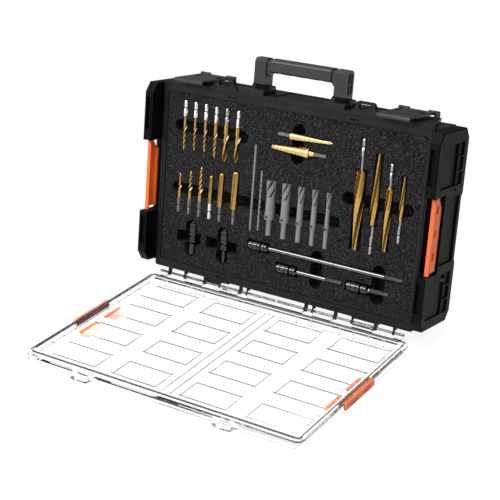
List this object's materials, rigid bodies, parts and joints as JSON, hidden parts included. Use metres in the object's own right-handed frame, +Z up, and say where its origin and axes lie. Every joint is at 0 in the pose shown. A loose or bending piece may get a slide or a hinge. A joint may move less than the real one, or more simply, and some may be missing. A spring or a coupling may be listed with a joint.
{
  "type": "impact driver bit set",
  "caption": "Opened organiser case with a clear lid, carrying handle, latches and a foam tray of drill bits, taps, step bits, reamers, cutters and bit extensions.",
  "frame": {"origin": "middle of the lid's flat outer face, on the floor", "axes": "+X to the right along the hinge, +Y from the lid towards the case, +Z up"},
  "size_m": [0.557, 0.4965, 0.4081],
  "materials": {
    "case_black": "fine texture",
    "foam": "speckled closed foam",
    "grey_plastic": "fine texture",
    "rubber_black": "matte",
    "orange": "satin",
    "clear_lid": "clear gloss",
    "steel": "polished",
    "steel_grey": "satin",
    "gold": "gold coloured coating",
    "black_steel": "black oxide"
  },
  "bodies": {
    "case": {"case_shell": "case_black", "foam_insert": "foam", "foam_base": "foam", "side_rail_left": "case_black", "side_rail_right": "case_black", "rail_screws": "steel", "side_latch_pins": "steel", "latch_pins": "steel", "handle_pins": "steel", "hinge_rods": "steel"},
    "lid": {"lid_shell": "clear_lid", "lid_seal": "rubber_black", "lid_catch_left": "orange", "lid_catch_right": "orange"},
    "latch_left": {"latch_left": "grey_plastic"},
    "latch_right": {"latch_right": "grey_plastic"},
    "handle": {"handle_frame": "grey_plastic", "handle_grip": "grey_plastic"},
    "side_latch_left": {"side_latch_left": "orange"},
    "side_latch_right": {"side_latch_right": "orange"},
    "extension_long": {"extension_long": "steel"},
    "extension_mid": {"extension_mid": "steel"},
    "extension_short": {"extension_short": "steel"},
    "chuck_adaptor_left": {"chuck_adaptor_left": "black_steel"},
    "chuck_adaptor_right": {"chuck_adaptor_right": "black_steel"},
    "sleeve_long": {"sleeve_long": "black_steel"},
    "sleeve_mid": {"sleeve_mid": "black_steel"},
    "sleeve_short": {"sleeve_short": "black_steel"},
    "sleeve_left": {"sleeve_left": "black_steel"},
    "sleeve_right": {"sleeve_right": "black_steel"},
    "tap_bit_1": {"tap_bit_1": "gold"},
    "tap_bit_2": {"tap_bit_2": "gold"},
    "tap_bit_3": {"tap_bit_3": "gold"},
    "tap_bit_4": {"tap_bit_4": "gold"},
    "tap_bit_5": {"tap_bit_5": "gold"},
    "tap_bit_6": {"tap_bit_6": "gold"},
    "countersink_bit_1": {"countersink_bit_1": "gold"},
    "countersink_bit_2": {"countersink_bit_2": "gold"},
    "countersink_bit_3": {"countersink_bit_3": "gold"},
    "taper_bit_1": {"taper_bit_1": "gold"},
    "taper_bit_2": {"taper_bit_2": "gold"},
    "taper_bit_3": {"taper_bit_3": "gold"},
    "pilot_rod": {"pilot_rod": "steel"},
    "pilot_drill": {"pilot_drill": "steel_grey"},
    "end_cutter_1": {"end_cutter_1": "steel_grey"},
    "end_cutter_2": {"end_cutter_2": "steel_grey"},
    "end_cutter_3": {"end_cutter_3": "steel_grey"},
    "end_cutter_4": {"end_cutter_4": "steel_grey"},
    "end_cutter_5": {"end_cutter_5": "steel_grey"},
    "step_bit_small": {"step_bit_small": "gold"},
    "step_bit_large": {"step_bit_large": "gold"},
    "reamer_1": {"reamer_1": "gold"},
    "reamer_2": {"reamer_2": "gold"},
    "reamer_3": {"reamer_3": "gold"},
    "reamer_4": {"reamer_4": "gold"}
  },
  "joints": [
    {"name": "lid_hinge", "type": "hinge", "parent": "case", "child": "lid", "pos_m": [0, 0.1755, 0.0195], "axis": [1, 0, 0], "range_deg": [-100.6, 0]},
    {"name": "latch_left_hinge", "type": "hinge", "parent": "case", "child": "latch_left", "pos_m": [-0.193, 0.30551, 0.34929], "axis": [-1, 0, 0], "range_deg": [-2.5, 100]},
    {"name": "latch_right_hinge", "type": "hinge", "parent": "case", "child": "latch_right", "pos_m": [0.193, 0.30551, 0.34929], "axis": [-1, 0, 0], "range_deg": [-2.5, 100]},
    {"name": "handle_hinge", "type": "hinge", "parent": "case", "child": "handle", "pos_m": [0, 0.2702, 0.35632], "axis": [-1, 0, 0], "range_deg": [0, 85]},
    {"name": "side_latch_left_hinge", "type": "hinge", "parent": "case", "child": "side_latch_left", "pos_m": [-0.2715, 0.21386, 0.18883], "axis": [0, -0.1843, -0.9829], "range_deg": [0, 30]},
    {"name": "side_latch_right_hinge", "type": "hinge", "parent": "case", "child": "side_latch_right", "pos_m": [0.2715, 0.21386, 0.18883], "axis": [0, 0.1843, 0.9829], "range_deg": [0, 30]},
    {"name": "extension_long_lift", "type": "slide", "parent": "case", "child": "extension_long", "axis": [0, -0.9829, 0.1843], "range_m": [0, 0.025]},
    {"name": "extension_mid_lift", "type": "slide", "parent": "case", "child": "extension_mid", "axis": [0, -0.9829, 0.1843], "range_m": [0, 0.025]},
    {"name": "extension_short_lift", "type": "slide", "parent": "case", "child": "extension_short", "axis": [0, -0.9829, 0.1843], "range_m": [0, 0.025]},
    {"name": "chuck_adaptor_left_lift", "type": "slide", "parent": "case", "child": "chuck_adaptor_left", "axis": [0, -0.9829, 0.1843], "range_m": [0, 0.025]},
    {"name": "chuck_adaptor_right_lift", "type": "slide", "parent": "case", "child": "chuck_adaptor_right", "axis": [0, -0.9829, 0.1843], "range_m": [0, 0.025]},
    {"name": "sleeve_long_slide", "type": "slide", "parent": "extension_long", "child": "sleeve_long", "axis": [1, 0, 0], "range_m": [0, 0.003], "stiffness_N_per_m": 400, "springref_m": -0.003},
    {"name": "sleeve_mid_slide", "type": "slide", "parent": "extension_mid", "child": "sleeve_mid", "axis": [1, 0, 0], "range_m": [0, 0.003], "stiffness_N_per_m": 400, "springref_m": -0.003},
    {"name": "sleeve_short_slide", "type": "slide", "parent": "extension_short", "child": "sleeve_short", "axis": [1, 0, 0], "range_m": [0, 0.003], "stiffness_N_per_m": 400, "springref_m": -0.003},
    {"name": "sleeve_left_slide", "type": "slide", "parent": "chuck_adaptor_left", "child": "sleeve_left", "axis": [0, -0.1843, -0.9829], "range_m": [0, 0.003], "stiffness_N_per_m": 400, "springref_m": -0.003},
    {"name": "sleeve_right_slide", "type": "slide", "parent": "chuck_adaptor_right", "child": "sleeve_right", "axis": [0, -0.1843, -0.9829], "range_m": [0, 0.003], "stiffness_N_per_m": 400, "springref_m": -0.003},
    {"name": "tap_bit_1_lift", "type": "slide", "parent": "case", "child": "tap_bit_1", "axis": [0, -0.9829, 0.1843], "range_m": [0, 0.025]},
    {"name": "tap_bit_2_lift", "type": "slide", "parent": "case", "child": "tap_bit_2", "axis": [0, -0.9829, 0.1843], "range_m": [0, 0.025]},
    {"name": "tap_bit_3_lift", "type": "slide", "parent": "case", "child": "tap_bit_3", "axis": [0, -0.9829, 0.1843], "range_m": [0, 0.025]},
    {"name": "tap_bit_4_lift", "type": "slide", "parent": "case", "child": "tap_bit_4", "axis": [0, -0.9829, 0.1843], "range_m": [0, 0.025]},
    {"name": "tap_bit_5_lift", "type": "slide", "parent": "case", "child": "tap_bit_5", "axis": [0, -0.9829, 0.1843], "range_m": [0, 0.025]},
    {"name": "tap_bit_6_lift", "type": "slide", "parent": "case", "child": "tap_bit_6", "axis": [0, -0.9829, 0.1843], "range_m": [0, 0.025]},
    {"name": "countersink_bit_1_lift", "type": "slide", "parent": "case", "child": "countersink_bit_1", "axis": [0, -0.9829, 0.1843], "range_m": [0, 0.025]},
    {"name": "countersink_bit_2_lift", "type": "slide", "parent": "case", "child": "countersink_bit_2", "axis": [0, -0.9829, 0.1843], "range_m": [0, 0.025]},
    {"name": "countersink_bit_3_lift", "type": "slide", "parent": "case", "child": "countersink_bit_3", "axis": [0, -0.9829, 0.1843], "range_m": [0, 0.025]},
    {"name": "taper_bit_1_lift", "type": "slide", "parent": "case", "child": "taper_bit_1", "axis": [0, -0.9829, 0.1843], "range_m": [0, 0.025]},
    {"name": "taper_bit_2_lift", "type": "slide", "parent": "case", "child": "taper_bit_2", "axis": [0, -0.9829, 0.1843], "range_m": [0, 0.025]},
    {"name": "taper_bit_3_lift", "type": "slide", "parent": "case", "child": "taper_bit_3", "axis": [0, -0.9829, 0.1843], "range_m": [0, 0.025]},
    {"name": "pilot_rod_lift", "type": "slide", "parent": "case", "child": "pilot_rod", "axis": [0, -0.9829, 0.1843], "range_m": [0, 0.025]},
    {"name": "pilot_drill_lift", "type": "slide", "parent": "case", "child": "pilot_drill", "axis": [0, -0.9829, 0.1843], "range_m": [0, 0.025]},
    {"name": "end_cutter_1_lift", "type": "slide", "parent": "case", "child": "end_cutter_1", "axis": [0, -0.9829, 0.1843], "range_m": [0, 0.025]},
    {"name": "end_cutter_2_lift", "type": "slide", "parent": "case", "child": "end_cutter_2", "axis": [0, -0.9829, 0.1843], "range_m": [0, 0.025]},
    {"name": "end_cutter_3_lift", "type": "slide", "parent": "case", "child": "end_cutter_3", "axis": [0, -0.9829, 0.1843], "range_m": [0, 0.025]},
    {"name": "end_cutter_4_lift", "type": "slide", "parent": "case", "child": "end_cutter_4", "axis": [0, -0.9829, 0.1843], "range_m": [0, 0.025]},
    {"name": "end_cutter_5_lift", "type": "slide", "parent": "case", "child": "end_cutter_5", "axis": [0, -0.9829, 0.1843], "range_m": [0, 0.025]},
    {"name": "step_bit_small_lift", "type": "slide", "parent": "case", "child": "step_bit_small", "axis": [0, -0.9829, 0.1843], "range_m": [0, 0.025]},
    {"name": "step_bit_large_lift", "type": "slide", "parent": "case", "child": "step_bit_large", "axis": [0, -0.9829, 0.1843], "range_m": [0, 0.025]},
    {"name": "reamer_1_lift", "type": "slide", "parent": "case", "child": "reamer_1", "axis": [0, -0.9829, 0.1843], "range_m": [0, 0.025]},
    {"name": "reamer_2_lift", "type": "slide", "parent": "case", "child": "reamer_2", "axis": [0, -0.9829, 0.1843], "range_m": [0, 0.025]},
    {"name": "reamer_3_lift", "type": "slide", "parent": "case", "child": "reamer_3", "axis": [0, -0.9829, 0.1843], "range_m": [0, 0.025]},
    {"name": "reamer_4_lift", "type": "slide", "parent": "case", "child": "reamer_4", "axis": [0, -0.9829, 0.1843], "range_m": [0, 0.025]}
  ]
}
